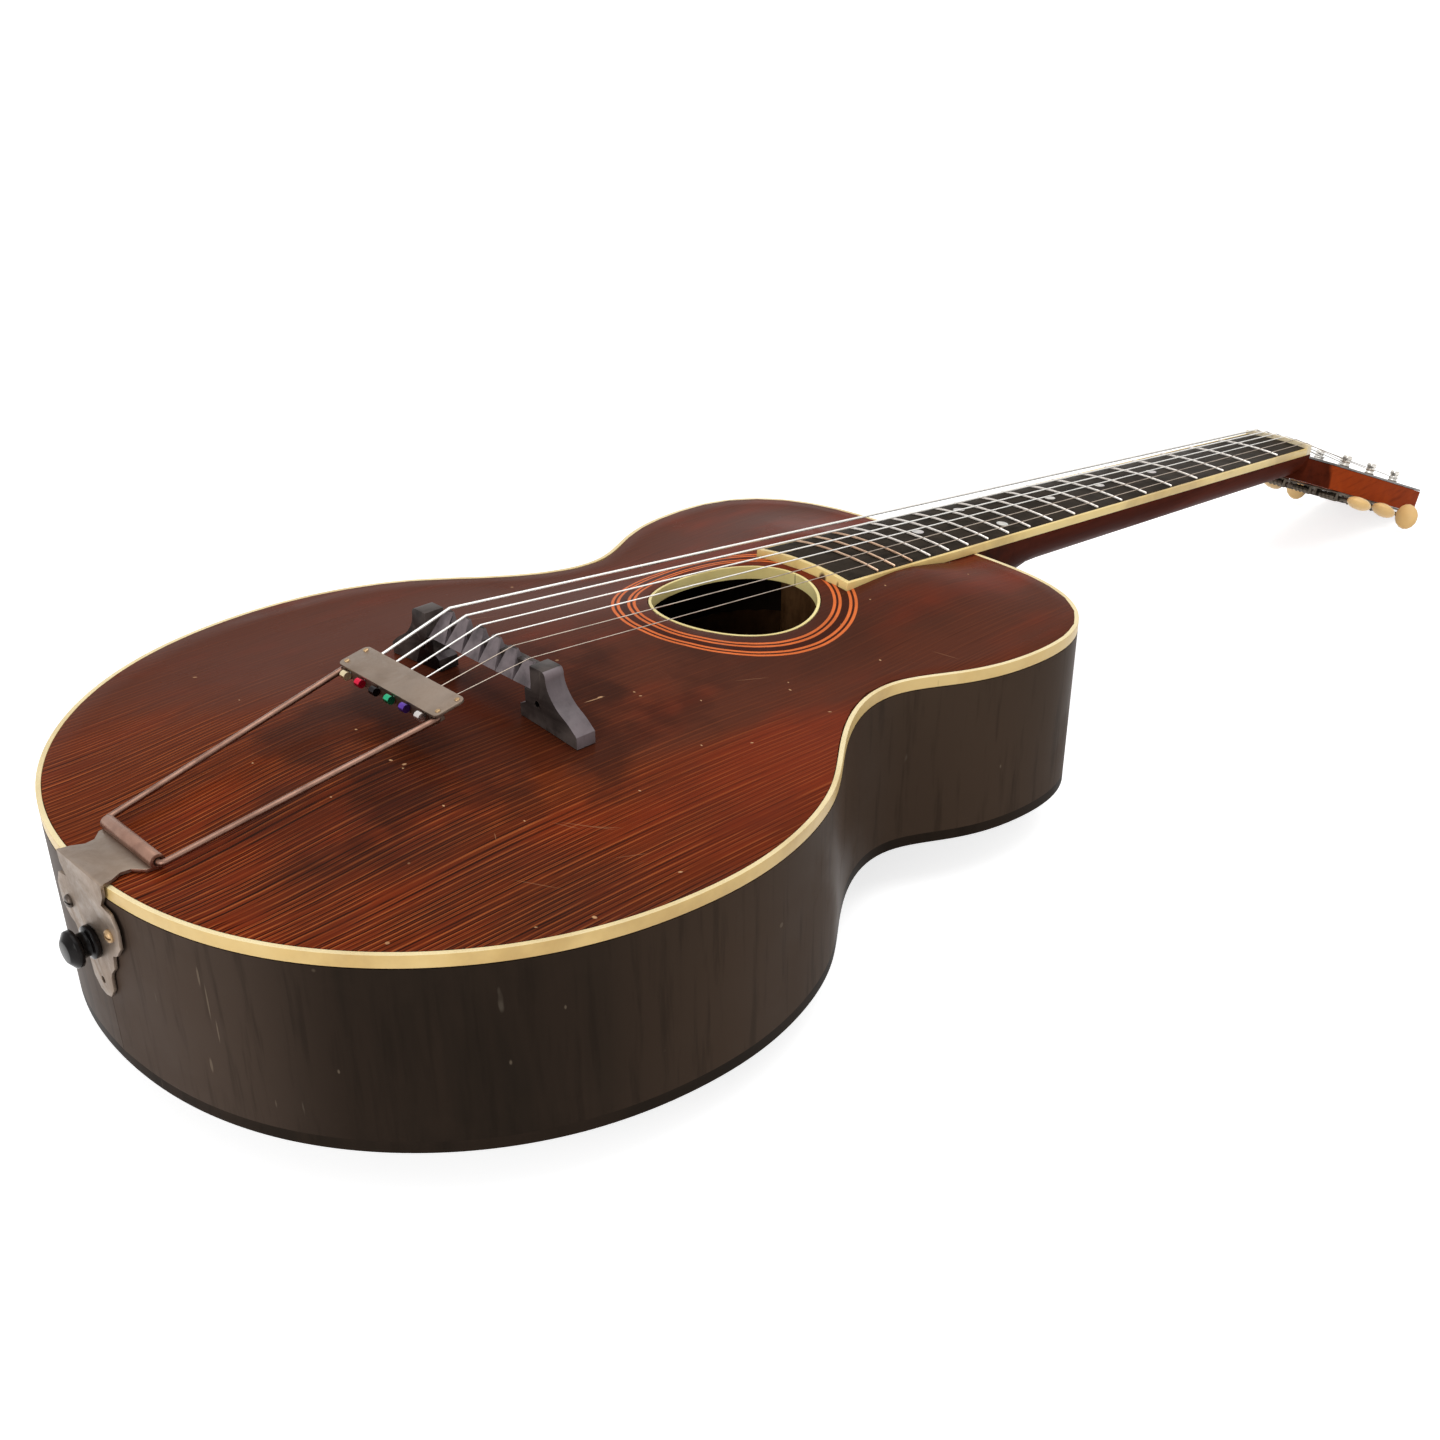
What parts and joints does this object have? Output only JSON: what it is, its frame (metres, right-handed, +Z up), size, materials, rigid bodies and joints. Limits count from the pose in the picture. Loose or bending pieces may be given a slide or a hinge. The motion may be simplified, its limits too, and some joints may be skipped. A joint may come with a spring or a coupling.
{
  "type": "archtop acoustic guitar",
  "caption": "Archtop acoustic guitar with a round soundhole, dark stained carved top, cream binding, carved ebony bridge, trapeze tailpiece and open-geared tuning machines.",
  "frame": {"origin": "where the guitar lies: the flat of the back's arch, on the centre line", "axes": "+Z up out of the soundboard, +Y along the strings towards the head, +X towards the thinnest string's side"},
  "size_m": [0.3262, 0.9712, 0.1451],
  "materials": {
    "top_spruce": "satin",
    "side_wood": "satin",
    "raw_wood": "matt",
    "neck_wood": "satin",
    "cream_binding": "aged satin",
    "ebony": "satin",
    "bone": "satin",
    "nickel": "worn",
    "worn_nickel": "tarnished",
    "wire_steel": "tarnished",
    "fret_metal": "polished",
    "string_metal": "bright",
    "ivory": "satin"
  },
  "bodies": {
    "body": {"top_plate": "top_spruce", "back_plate": "side_wood", "rim_bass": "side_wood", "rim_treble": "side_wood", "top_binding": "cream_binding", "lining_top": "raw_wood", "lining_back": "raw_wood", "neck_block": "raw_wood", "tail_block": "raw_wood", "top_brace": "raw_wood", "soundhole_binding": "cream_binding", "neck": "neck_wood", "bridge": "ebony", "tailpiece_bracket": "worn_nickel", "endpin": "ebony", "fretboard": "ebony", "fretboard_binding": "cream_binding", "nut": "bone", "fret_01": "fret_metal", "fret_02": "fret_metal", "fret_03": "fret_metal", "fret_04": "fret_metal", "fret_05": "fret_metal", "fret_06": "fret_metal", "fret_07": "fret_metal", "fret_08": "fret_metal", "fret_09": "fret_metal", "fret_10": "fret_metal", "fret_11": "fret_metal", "fret_12": "fret_metal", "fret_13": "fret_metal", "fret_14": "fret_metal", "fret_15": "fret_metal", "fret_16": "fret_metal", "fret_17": "fret_metal", "fret_18": "fret_metal", "fret_19": "fret_metal", "head_veneer": "ebony", "tuner_plate_bass": "nickel", "tuner_plate_treble": "nickel", "string_1": "string_metal", "string_2": "string_metal", "string_3": "string_metal", "string_4": "string_metal", "string_5": "string_metal", "string_6": "string_metal"},
    "trapeze": {"tailpiece_wire": "wire_steel", "string_holder": "worn_nickel"},
    "knob_1": {"tuner_knob_1": "ivory"},
    "post_1": {"tuner_post_1": "nickel"},
    "knob_2": {"tuner_knob_2": "ivory"},
    "post_2": {"tuner_post_2": "nickel"},
    "knob_3": {"tuner_knob_3": "ivory"},
    "post_3": {"tuner_post_3": "nickel"},
    "knob_4": {"tuner_knob_4": "ivory"},
    "post_4": {"tuner_post_4": "nickel"},
    "knob_5": {"tuner_knob_5": "ivory"},
    "post_5": {"tuner_post_5": "nickel"},
    "knob_6": {"tuner_knob_6": "ivory"},
    "post_6": {"tuner_post_6": "nickel"}
  },
  "joints": [
    {"name": "trapeze_hinge", "type": "hinge", "parent": "body", "child": "trapeze", "pos_m": [0, -0.18552, 0.1123], "axis": [1, 0, 0], "range_deg": [-4, 0], "stiffness_Nm_per_rad": 50, "deforming": ["string_1", "string_2", "string_3", "string_4", "string_5", "string_6"]},
    {"name": "knob_turn_1", "type": "hinge", "parent": "body", "child": "knob_1", "pos_m": [0.019, 0.63363, 0.03962], "axis": [1, 0, 0], "continuous": true},
    {"name": "knob_turn_2", "type": "hinge", "parent": "body", "child": "knob_2", "pos_m": [0.019, 0.67054, 0.02553], "axis": [1, 0, 0], "continuous": true},
    {"name": "knob_turn_3", "type": "hinge", "parent": "body", "child": "knob_3", "pos_m": [0.019, 0.70744, 0.01144], "axis": [1, 0, 0], "continuous": true},
    {"name": "knob_turn_4", "type": "hinge", "parent": "body", "child": "knob_4", "pos_m": [-0.019, 0.70744, 0.01144], "axis": [1, 0, 0], "continuous": true},
    {"name": "knob_turn_5", "type": "hinge", "parent": "body", "child": "knob_5", "pos_m": [-0.019, 0.67054, 0.02553], "axis": [1, 0, 0], "continuous": true},
    {"name": "knob_turn_6", "type": "hinge", "parent": "body", "child": "knob_6", "pos_m": [-0.019, 0.63363, 0.03962], "axis": [1, 0, 0], "continuous": true},
    {"name": "post_turn_1", "type": "hinge", "parent": "body", "child": "post_1", "pos_m": [0.019, 0.64932, 0.05338], "axis": [0, 0.3567, 0.9342], "continuous": true},
    {"name": "post_turn_2", "type": "hinge", "parent": "body", "child": "post_2", "pos_m": [0.019, 0.68623, 0.03929], "axis": [0, 0.3567, 0.9342], "continuous": true},
    {"name": "post_turn_3", "type": "hinge", "parent": "body", "child": "post_3", "pos_m": [0.019, 0.72313, 0.02519], "axis": [0, 0.3567, 0.9342], "continuous": true},
    {"name": "post_turn_4", "type": "hinge", "parent": "body", "child": "post_4", "pos_m": [-0.019, 0.72313, 0.02519], "axis": [0, 0.3567, 0.9342], "continuous": true},
    {"name": "post_turn_5", "type": "hinge", "parent": "body", "child": "post_5", "pos_m": [-0.019, 0.68623, 0.03929], "axis": [0, 0.3567, 0.9342], "continuous": true},
    {"name": "post_turn_6", "type": "hinge", "parent": "body", "child": "post_6", "pos_m": [-0.019, 0.64932, 0.05338], "axis": [0, 0.3567, 0.9342], "continuous": true}
  ],
  "couplings": [
    {"joint": "post_turn_1", "follows": "knob_turn_1", "ratio": -0.071429},
    {"joint": "post_turn_2", "follows": "knob_turn_2", "ratio": -0.071429},
    {"joint": "post_turn_3", "follows": "knob_turn_3", "ratio": -0.071429},
    {"joint": "post_turn_4", "follows": "knob_turn_4", "ratio": -0.071429},
    {"joint": "post_turn_5", "follows": "knob_turn_5", "ratio": -0.071429},
    {"joint": "post_turn_6", "follows": "knob_turn_6", "ratio": -0.071429}
  ]
}
